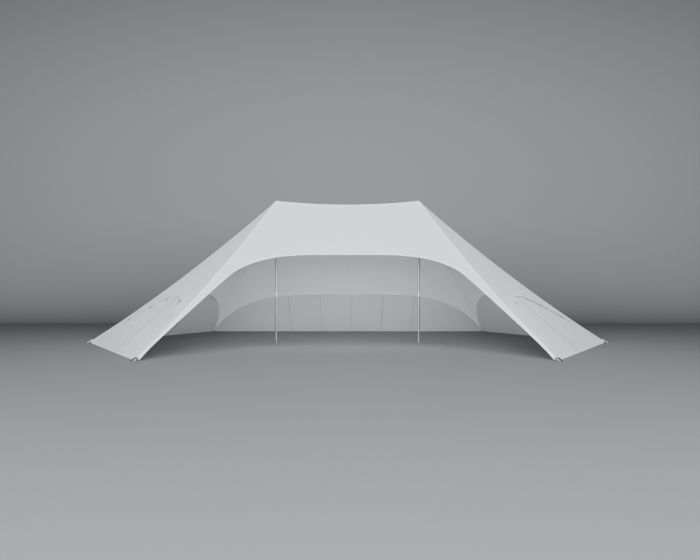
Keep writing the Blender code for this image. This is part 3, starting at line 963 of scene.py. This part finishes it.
class Ridge:
    """Places along one ridge: r out from the mast, v across, and z up."""

    def __init__(self, mast_side, bearing):
        self.origin = np.array((mast_side * MAST_SPACING / 2, 0, 0))
        self.out, self.across = directions(math.radians(bearing))

    def on_roof(self, r, v, rise=0.0):
        r, v = spread(r, v)
        place = self.origin + self.out * r[..., None] + self.across * v[..., None]
        return raise_to_roof(place, rise)


def build_strap(name, ridge):
    """Webbing sewn along the end of the ridge, which runs on to the ratchet."""
    form, threads = Form(), Form()
    v = np.array((-1, -0.94, -0.6, -0.3, 0, 0.3, 0.6, 0.94, 1)) * STRAP_HALF_WIDTH
    edge = np.array((0.5, 0, 0, 0, 0, 0, 0, 0, 0.5)) * STRAP_CLOTH
    grid_r, grid_v = np.meshgrid(np.linspace(STRAP_START, STRAP_END, 24), v, indexing="ij")
    inner = ridge.on_roof(grid_r, grid_v, STRAP_SEAT + edge)
    outer = ridge.on_roof(grid_r, grid_v, STRAP_SEAT + STRAP_CLOTH - edge)
    add_cloth(form, outer, inner, np.stack([grid_v, grid_r], axis=-1), [0] * 8, 0)
    sewn = np.linspace(STRAP_START + SEWN_START, STRAP_START + SEWN_LENGTH, 30)
    wide = STRAP_HALF_WIDTH - STITCH_INSET
    share = (sewn - sewn[0]) / (sewn[-1] - sewn[0]) * 2 - 1
    lines = (wide + 0 * sewn, -wide + 0 * sewn, wide * share, -wide * share)
    rows = [(sewn, line) for line in lines]
    rows += [(place, np.linspace(-wide, wide, 9)) for place in (sewn[0], sewn[-1])]
    for place, line in rows:
        path = ridge.on_roof(place, line, STRAP_SEAT + STRAP_CLOTH)
        add_stitches(threads, path, (0, 0, 1), STRAP_STITCH_PITCH)
    form.place(f"strap_{name}_webbing", ["webbing"], "webbing", "strap_" + name)
    threads.place(f"strap_{name}_stitching", ["dark_thread"], "webbing")


def add_wire_ring(form, centre, ridge):
    """Adds a level ring of round wire."""
    wires = turns_round(WIRE_SIDES)[:, None]
    rings = []
    for turn in turns_round(RING_STEPS):
        out = ridge.out * math.cos(turn) + ridge.across * math.sin(turn)
        loop = out * (RING_RADIUS + RING_WIRE * np.cos(wires))
        rings.append(centre + loop + np.array((0, 0, RING_WIRE)) * np.sin(wires))
    form.add(rings, ring_faces(RING_STEPS, WIRE_SIDES, RING_STEPS))


def build_ratchet(name, ridge):
    """The tensioner: zinc side plates, and a black handle over a drum wound with webbing."""
    start = ridge.on_roof(STRAP_END + SEAM_GAP, 0.0, RATCHET_FRAME)
    fall = math.atan2(RATCHET_FALL, RATCHET_LENGTH)
    along = ridge.out * math.cos(fall) - np.array((0, 0, 1)) * math.sin(fall)
    square = np.cross(along, ridge.across)
    plates, steel, cloth = Form(), Form(), Form()

    def at(x, y):
        """Points x mm along the ratchet and y mm up from its middle line."""
        return start + MM * (np.multiply.outer(x, along) + np.multiply.outer(y, square))

    def bar(x, radius, half, form=steel, sides=16):
        profile = MM * np.array(rounded(radius, 0, 2 * half, 0.6))
        add_turned(form, profile, at(x, 0) - ridge.across * MM * half, ridge.across, sides)

    wheel = []
    for turn in turns_round(WHEEL_TEETH):
        for share, radius in RATCHET_TOOTH:
            tooth = turn + share * math.tau / WHEEL_TEETH
            wheel.append((DRUM_PLACE + radius * math.cos(tooth), radius * math.sin(tooth)))
    layers = [(plates, RATCHET_SIDE, SIDE_FACES), (steel, RATCHET_ARM, ARM_FACES)]
    for form, outline, (low, high) in layers + [(steel, wheel, WHEEL_FACES)]:
        for low, high in ((-high, -low), (low, high)):
            axes = (along, square, ridge.across)
            add_mm_plate(form, outline, low, high, start, axes, 0.0005)
    bar(DRUM_PLACE, 8, 34.5)
    bar(243, 5, 31)
    bar(14, 5, 31)
    bar(DRUM_PLACE, 11, 22, cloth, 28)
    x, y = np.transpose(RATCHET_COVER)
    add_strip(steel, at(x, y), ridge.across, square, MM * 74, MM * 2.5)
    x = np.linspace(176, 240, 5)
    add_strip(steel, at(x, -7 + 0 * x), ridge.across, square, MM * 60, MM * 3)
    turns, radius = np.linspace(0.5 * math.pi, 5.5 * math.pi, 60), np.linspace(14.5, 11.5, 60)
    lead = at(np.linspace(0, 150, 12), 12 * smooth_step(np.linspace(0, 1, 12)))
    spiral = at(DRUM_PLACE + radius * np.cos(turns), radius * np.sin(turns))
    wound = np.concatenate([lead, spiral])
    up = np.cross(unit(np.gradient(wound, axis=0)), ridge.across)
    add_strip(cloth, wound, ridge.across, up, MM * 42, 0.0022)
    centre = start + ridge.out * (RATCHET_LENGTH + SEAM_GAP + STAKE_RADIUS)
    centre[2] = RING_HEIGHT
    add_wire_ring(steel, centre, ridge)
    node = "ratchet_" + name
    plates.place(node + "_frame", ["zinc_steel"], "dark_steel", node, sharp=35)
    steel.place(node + "_handle", ["black_steel"], "dark_steel", sharp=35)
    cloth.place(node + "_webbing", ["webbing"], "webbing", sharp=35)


def build_stake(name, ridge):
    """A forged pin with a struck head, driven in at a lean."""
    end = STRAP_END + SEAM_GAP + RATCHET_LENGTH
    low = float(ridge.on_roof(STRAP_END, 0.0)[2]) - RATCHET_FALL
    foot = end + SEAM_GAP + STAKE_RADIUS - STAKE_LEAN * low / STAKE_HEIGHT
    axis = ridge.out * STAKE_LEAN + np.array((0, 0, STAKE_HEIGHT))
    top, shoulder, head = STAKE_HEIGHT, STAKE_HEIGHT - STAKE_HEAD_HEIGHT, STAKE_HEAD_RADIUS
    profile = [(STAKE_RADIUS, 0), (STAKE_RADIUS, shoulder - 0.006)]
    profile += [(STAKE_RADIUS + 0.002, shoulder), (head - 0.002, shoulder + 0.001)]
    profile += [(head, shoulder + 0.004), (head, top - 0.007), (head - 0.003, top - 0.003)]
    profile += [(head - 0.009, top - 0.0005), (TINY, top)]
    form = Form()
    add_turned(form, profile, ridge.origin + ridge.out * foot, axis, 28)
    form.points[-1][:28, 2] = 0
    form.place(f"stake_{name}_pin", ["worn_steel"], "dark_steel", "stake_" + name, sharp=40)


class Wire:
    """What a node puts out. Wires add, subtract, multiply and divide as numbers do."""

    def __init__(self, tree, socket):
        self.tree, self.socket = tree, socket

    def work(self, operation, *values, clamp=False):
        inputs = dict(enumerate((self, *values)))
        return add_node(self.tree, "ShaderNodeMath", inputs, operation=operation, use_clamp=clamp)

    __add__ = partialmethod(work, "ADD")
    __sub__ = partialmethod(work, "SUBTRACT")
    __mul__ = partialmethod(work, "MULTIPLY")
    __truediv__ = partialmethod(work, "DIVIDE")
    __pow__ = partialmethod(work, "POWER")

    def vector(self, operation, *values, output=0):
        inputs = dict(enumerate((self, *values)))
        return add_node(self.tree, "ShaderNodeVectorMath", inputs, output, operation=operation)

    def part(self, number):
        """The x, y or z of a place, by its number."""
        return add_node(self.tree, "ShaderNodeSeparateXYZ", {0: self}, number)

    def noise(self, scale, detail, roughness):
        inputs = {"Vector": self, "Scale": scale, "Detail": detail, "Roughness": roughness}
        return add_node(self.tree, "ShaderNodeTexNoise", inputs)

    def feed(self, socket):
        self.tree.links.new(self.socket, socket)


def set_input(socket, value):
    if isinstance(value, Wire):
        value.feed(socket)
    else:
        socket.default_value = value


def add_node(tree, kind, inputs=(), output=0, **settings):
    """Adds a node and returns one of its outputs. inputs gives sockets a value or a wire."""
    node = tree.nodes.new(kind)
    for key, value in settings.items():
        setattr(node, key, value)
    for key, value in dict(inputs).items():
        set_input(node.inputs[key], value)
    return Wire(tree, node.outputs[output])


def blend(share, first, second):
    """Goes from the first colour to the second as share goes from 0 to 1."""
    first, second = [c if isinstance(c, Wire) else (*c, 1) for c in (first, second)]
    inputs = {0: share, 6: first, 7: second}
    return add_node(share.tree, "ShaderNodeMix", inputs, 2, data_type="RGBA")


EFFECTS = {}


def shared_effect(output, **inputs):
    """Keeps what a function works out at a place as a node group that materials share."""

    def keep(work_out):
        tree = bpy.data.node_groups.new(work_out.__name__, "ShaderNodeTree")
        for label, value in {"Place": None, **inputs}.items():
            kind = "NodeSocketVector" if value is None else "NodeSocketFloat"
            socket = tree.interface.new_socket(label, in_out="INPUT", socket_type=kind)
            if value is not None:
                socket.default_value = value
        tree.interface.new_socket(output, in_out="OUTPUT", socket_type="NodeSocketFloat")
        given = tree.nodes.new("NodeGroupInput").outputs
        result = work_out(*[Wire(tree, given[label]) for label in ("Place", *inputs)])
        result.feed(tree.nodes.new("NodeGroupOutput").inputs[output])
        EFFECTS[work_out.__name__] = tree
        return work_out

    return keep


def effect(name, place, **inputs):
    """Places a shared effect in a material and returns what it puts out."""
    node = place.tree.nodes.new("ShaderNodeGroup")
    node.node_tree = EFFECTS[name]
    for label, value in {"Place": place, **inputs}.items():
        set_input(node.inputs[label], value)
    return Wire(place.tree, node.outputs[0])


@shared_effect("Height", Pitch=0.001)
def weave(place, pitch):
    """Threads over and under each other, pitch metres apart."""
    across, along = [(place.part(k) / pitch * math.pi).work("SINE") for k in (0, 1)]
    return across * along * 0.5 + 0.5


@shared_effect("Height", Pitch=0.003, Half_Width=0.03)
def twill(place, pitch, half_width):
    """Slanted ribs across webbing, with plain edges."""
    away = place.part(0).work("ABSOLUTE")
    ribs = ((away + place.part(1)) / pitch * math.tau).work("SINE") * 0.5 + 0.5
    return ribs.work("MAXIMUM", (away / half_width).work("GREATER_THAN", 0.9))


@shared_effect("Tone", Scale=1.0, Stretch=1.0)
def mottle(place, scale, stretch):
    """Slow changes of tone over a surface, as from handling and uneven coating."""
    squeeze = add_node(place.tree, "ShaderNodeCombineXYZ", {0: 1.0, 1: 1.0, 2: stretch})
    noise = place.vector("MULTIPLY", squeeze).noise(scale, 4.0, 0.6)
    return noise.work("MULTIPLY_ADD", 2.0, -0.5, clamp=True)


@shared_effect("Mask", Height=0.3, Amount=0.5)
def ground_dust(place, height, amount):
    """Dust thrown up from the ground, thickest at the bottom and broken up."""
    near = (place.part(2) / height).work("MULTIPLY_ADD", -1.0, 1.0, clamp=True)
    return (near**2.0 * place.noise(9.0, 5.0, 0.7)).work("MULTIPLY", amount, clamp=True)


@shared_effect("Tone", Middle=None, Shape=None, Reach=1.0, Power=1.0)
def pool(place, middle, shape, reach, power):
    """Tone that fades out from 1 at the middle of a pool of light, over reach metres."""
    far = place.vector("SUBTRACT", middle).vector("MULTIPLY", shape)
    return ((far.vector("LENGTH", output="Value") / reach) ** power * -1.0).work("EXPONENT")


@shared_effect("Mask", Scale=60.0, Amount=0.5)
def scuffs(place, scale, amount):
    """Fine rubbed streaks on metal and plastic."""
    return place.noise(scale, 8.0, 0.75).work("MULTIPLY_ADD", 5.0, -2.6, clamp=True) * amount


@shared_effect("Mask")
def painted_shade_side(place):
    """Painted shade: 1 on the side of a mast that faces away from the other mast, and 0 on its
    inner side.
    """
    outward = place.part(0).work("ABSOLUTE") - MAST_SPACING / 2
    return outward.work("MULTIPLY_ADD", 1 / MAST_RADIUS, 0.5, clamp=True)


FINISH = {}


def new_finish(name, roughness, metallic=0.0):
    """Starts a material. Gives its shader's inputs, and the place and the place on the cloth."""
    material = FINISH[name] = bpy.data.materials.new(name)
    material.use_nodes = True
    tree = material.node_tree
    shader = tree.nodes["Principled BSDF"].inputs
    shader["Roughness"].default_value = roughness
    shader["Metallic"].default_value = metallic
    return shader, add_node(tree, "ShaderNodeTexCoord", output="Object")


def on_cloth(place):
    return add_node(place.tree, "ShaderNodeUVMap", uv_map="cloth")


def add_bump(shader, heights, strength, distance):
    inputs = {"Strength": strength, "Distance": distance, "Height": heights}
    add_node(heights.tree, "ShaderNodeBump", inputs).feed(shader["Normal"])


def cloth_finish(name, dark, light, glow=1.0, painted_shade=None):
    """Coated cloth. glow is the share of light that goes into the cloth and through it.

    painted_shade gives the middle, shape and power of the pool where the cloth keeps its own tone;
    outside it a darker tone is painted, as painted shade towards the floor and the corners of the
    tent.
    """
    shader, place = new_finish(name, CLOTH_ROUGHNESS)
    slow, fine = effect("mottle", place, Scale=0.7), effect("mottle", place, Scale=14.0)
    colour = blend(fine * 0.3 + slow * 0.7, dark, light)
    soil = effect("ground_dust", place, Height=0.35, Amount=0.35)
    colour = blend(soil, colour, DUST_COLOUR)
    # Painted shade: the cloth is painted darker away from a pool about the middle of the wall
    if painted_shade:
        middle, shape, power = painted_shade
        own_tone_share = effect("pool", place, Middle=middle, Shape=shape, Power=power)
        colour = blend(own_tone_share, PAINTED_SHADE_COLOUR, colour)
    colour.feed(shader["Base Color"])
    (fine * 0.08 + (CLOTH_ROUGHNESS - 0.04)).feed(shader["Roughness"])
    threads = effect("weave", on_cloth(place), Pitch=CLOTH_THREAD)
    add_bump(shader, fine * 0.5 + threads, 0.35, 0.0002)
    shader["Subsurface Weight"].default_value = glow
    shader["Subsurface Radius"].default_value = (1, 1, 1)
    shader["Subsurface Scale"].default_value = GLOW_DEPTH


def webbing_finish(name, dark, light, half_width):
    """Woven straps, tapes and thread."""
    shader, place = new_finish(name, 0.75)
    ribs = effect("twill", on_cloth(place), Pitch=0.004, Half_Width=half_width)
    colour = blend(ribs * 0.6 + effect("mottle", place, Scale=30.0) * 0.4, dark, light)
    soil = effect("ground_dust", place, Height=0.25, Amount=0.5)
    blend(soil, colour, DUST_COLOUR).feed(shader["Base Color"])
    add_bump(shader, ribs, 0.6, 0.0006)


def hard_finish(name, colour, worn, roughness, metallic, scale, amount, stretch=1.0, outer=None):
    """Metal or plastic with scuffs that show what is under its skin.

    outer is the colour of the painted shade on a mast's outer side.
    """
    shader, place = new_finish(name, roughness, metallic)
    tone = effect("mottle", place, Scale=scale / 3, Stretch=stretch)
    rubbed = effect("scuffs", place, Scale=scale, Amount=amount)
    base = blend(tone, [0.82 * value for value in colour], colour)
    base = blend(rubbed, base, worn)
    # Painted shade on the outer side of a mast
    if outer:
        base = blend(effect("painted_shade_side", place), base, outer)
    base.feed(shader["Base Color"])
    (tone * 0.14 + (roughness - 0.07)).feed(shader["Roughness"])
    add_bump(shader, rubbed * -0.5 + tone, 0.25, 0.0003)


def paint_stage(shader, place, tone, gloss):
    """Paints the studio, with a fine grain, at a tone that carries its painted light and shade."""
    tone = tone * (effect("mottle", place, Scale=9.0) * 0.02 + 0.99)
    parts = {0: tone, 1: tone, 2: tone * 1.008}
    add_node(place.tree, "ShaderNodeCombineColor", parts).feed(shader["Base Color"])
    shader["Specular IOR Level"].default_value = gloss


def floor_finish():
    """Matt floor with painted light: a pool of light painted about the front of the tent, and
    painted lighter under its roof.
    """
    shader, place = new_finish("floor", 0.8)
    # Painted light: a pool of light, and a lighter patch under the roof
    tone = effect("pool", place, Middle=POOL_PLACE, Shape=POOL_SHAPE, Reach=POOL_REACH)
    painted_shelter_light = effect("pool", place, Middle=SHELTER_PLACE, Shape=SHELTER_SHAPE, Power=4.0)
    paint_stage(shader, place, tone * FLOOR_TONE * (painted_shelter_light * SHELTER_PAINTED_LIGHT + 1.0), 0.2)


def backdrop_finish():
    """Painted backdrop that can be looked through from behind, with painted shade towards its foot
    and a painted pool of light.
    """
    shader, place = new_finish("backdrop", 0.9)
    # Painted shade where the backdrop meets the floor, under a painted pool of light
    lower = (place.part(2) / -BACKDROP_FOOT_SHADE_HEIGHT).work("EXPONENT") * -BACKDROP_FOOT_SHADE + 1.0
    values = {"Shape": BACKDROP_POOL_SHAPE, "Reach": BACKDROP_POOL_REACH, "Power": 2.0}
    middle = (0, BACKDROP_PLACE, BACKDROP_POOL_HEIGHT)
    tone = lower * effect("pool", place, Middle=middle, **values)
    paint_stage(shader, place, tone * BACKDROP_TONE, 0.0)
    tree = place.tree
    paint = Wire(tree, tree.nodes["Principled BSDF"].outputs[0])
    behind = add_node(tree, "ShaderNodeNewGeometry", output="Backfacing")
    clear = add_node(tree, "ShaderNodeBsdfTransparent")
    mix = add_node(tree, "ShaderNodeMixShader", {0: behind, 1: paint, 2: clear})
    mix.feed(tree.nodes["Material Output"].inputs[0])


# Cloth: dark and light tone, share of light that goes through, and the painted shade
CLOTHS = {
    "canopy_outside": ((0.84, 0.85, 0.86), (0.88, 0.89, 0.90)),
    "canopy_inside": ((0.84, 0.85, 0.86), (0.88, 0.89, 0.90)),
    "canopy_hem": ((0.90, 0.90, 0.91), (0.93, 0.93, 0.94), 0.9),
    "wall_outside": ((0.83, 0.84, 0.85), (0.87, 0.88, 0.89)),
    # The walls' inner faces are darker than their outer faces, as painted shade inside the tent
    "wall_inside": ((0.55, 0.56, 0.57), (0.60, 0.61, 0.62), 0.72, REAR_WALL_PAINTED_SHADE),
    "side_wall_inside": ((0.39, 0.40, 0.41), (0.44, 0.45, 0.46), 1.0, SIDE_WALL_PAINTED_SHADE),
    "wall_hem": ((0.88, 0.88, 0.89), (0.92, 0.92, 0.93), 0.9),
    "weld_tape": ((0.75, 0.76, 0.77), (0.80, 0.81, 0.82), 0.95),
    "wall_tape": ((0.32, 0.33, 0.34), (0.38, 0.39, 0.40), 0.3),
}

# Webbing, tape and thread: dark and light tone, and half the width inside its plain edges
WEBBINGS = {
    "thread": ((0.60, 0.61, 0.62), (0.72, 0.73, 0.74), 1.0),
    "dark_thread": ((0.05, 0.05, 0.055), (0.10, 0.10, 0.11), 1.0),
    "webbing": ((0.62, 0.62, 0.60), (0.86, 0.86, 0.84), 0.03),
    "grey_webbing": ((0.22, 0.22, 0.225), (0.32, 0.32, 0.325), 0.02),
    # Near black: the zip tape, darkened as painted shadow of the gap under the canopy's edge
    "edge_tape": ((0.015, 0.015, 0.017), (0.04, 0.04, 0.045), 0.02),
    "zip_tape": ((0.05, 0.052, 0.054), (0.09, 0.092, 0.094), 0.02),
}

# Metal and plastic: colour, worn colour, roughness, metallic, scuffs to the metre and their
# amount. The mast has streaks drawn out along it, and painted shade on its outer side
HARD = {
    "zip_teeth": ((0.16, 0.16, 0.17), (0.3, 0.3, 0.3), 0.4, 0.0, 400.0, 0.5),
    "buckle_plastic": ((0.012, 0.012, 0.013), (0.04, 0.04, 0.04), 0.65, 0.0, 200.0, 0.4),
    "zinc_steel": ((0.80, 0.81, 0.82), (0.9, 0.9, 0.9), 0.42, 0.15, 150.0, 0.4),
    "cast_aluminium": ((0.52, 0.53, 0.54), (0.7, 0.7, 0.7), 0.45, 1.0, 120.0, 0.5),
    "galvanised_steel": ((0.19, 0.195, 0.2), (0.34, 0.34, 0.34), 0.5, 1.0, 70.0, 0.6),
    "black_steel": ((0.012, 0.012, 0.013), (0.2, 0.2, 0.2), 0.6, 0.1, 160.0, 0.3),
    "worn_steel": ((0.07, 0.068, 0.065), (0.4, 0.39, 0.38), 0.5, 0.6, 140.0, 0.6),
}
MAST_SKIN = ((0.33, 0.335, 0.34), (0.45, 0.45, 0.45), 0.36, 1.0, 90.0, 0.4, 0.08)
MAST_PAINTED_SHADE = (0.10, 0.102, 0.104)

for kind, finishes in ((cloth_finish, CLOTHS), (webbing_finish, WEBBINGS), (hard_finish, HARD)):
    for name, values in finishes.items():
        kind(name, *values)
hard_finish("mast_aluminium", *MAST_SKIN, MAST_PAINTED_SHADE)
floor_finish()
backdrop_finish()


def build_camera():
    data = bpy.data.cameras.new("camera")
    data.sensor_width = SENSOR_WIDTH
    data.lens = FOCAL_LENGTH
    data.clip_end = 500
    camera = add_object("camera", data)
    camera.location = CAMERA_PLACE
    camera.rotation_euler = (math.pi / 2, 0, 0)
    bpy.context.scene.camera = camera


def build_stage():
    """The floor, and a backdrop that only the camera sees, so that it takes no light away."""
    turns = turns_round(96)
    disc = np.stack([np.cos(turns), np.sin(turns), 0 * turns], axis=1) * FLOOR_RADIUS
    wide, high = BACKDROP_HALF_WIDTH, BACKDROP_HEIGHT
    corners = ((-wide, 0), (wide, 0), (wide, high), (-wide, high))
    sheet = np.array([(x, BACKDROP_PLACE, z) for x, z in corners])
    for name, points in (("floor", disc), ("backdrop", sheet)):
        mesh = bpy.data.meshes.new(name)
        mesh.from_pydata(points.tolist(), [], [list(range(len(points)))])
        mesh.materials.append(FINISH[name])
        piece = add_object(name, mesh)
    piece.visible_diffuse = piece.visible_glossy = piece.visible_shadow = False
    piece.visible_transmission = False


def build_lights():
    """A pale room, with large soft boxes in front and overhead and a small one at the back."""
    world = bpy.data.worlds.new("studio")
    world.use_nodes = True
    world.node_tree.nodes["Background"].inputs[0].default_value = ROOM_COLOUR
    bpy.context.scene.world = world
    for name, (place, size, power, spread) in SOFT_BOXES.items():
        data = bpy.data.lights.new(name, "AREA")
        data.shape = "RECTANGLE"
        data.size, data.size_y = size
        data.energy = power
        data.color = LIGHT_COLOUR
        data.spread = math.radians(spread)
        light = add_object(name, data)
        light.visible_camera = False
        light.location = place
        aim = Vector(LIGHT_AIM) - Vector(place)
        light.rotation_euler = aim.to_track_quat("-Z", "Y").to_euler()


build_camera()
build_stage()
build_lights()
build_canopy()
build_side_walls()
build_rear_wall()
for name in SIDE_SECTORS:
    build_tabs(name, SECTORS[name])
    build_edge_tape_and_shadow(name, SECTORS[name])
for name, side in MAST_SIDES.items():
    x = side * MAST_SPACING / 2
    build_mast(name, x)
    build_mast_base(name, x)
    build_mast_head(name, x)
    build_peak_cap(name, x)
for name, place in FEET.items():
    ridge = Ridge(*place)
    build_strap(name, ridge)
    build_ratchet(name, ridge)
    build_stake(name, ridge)
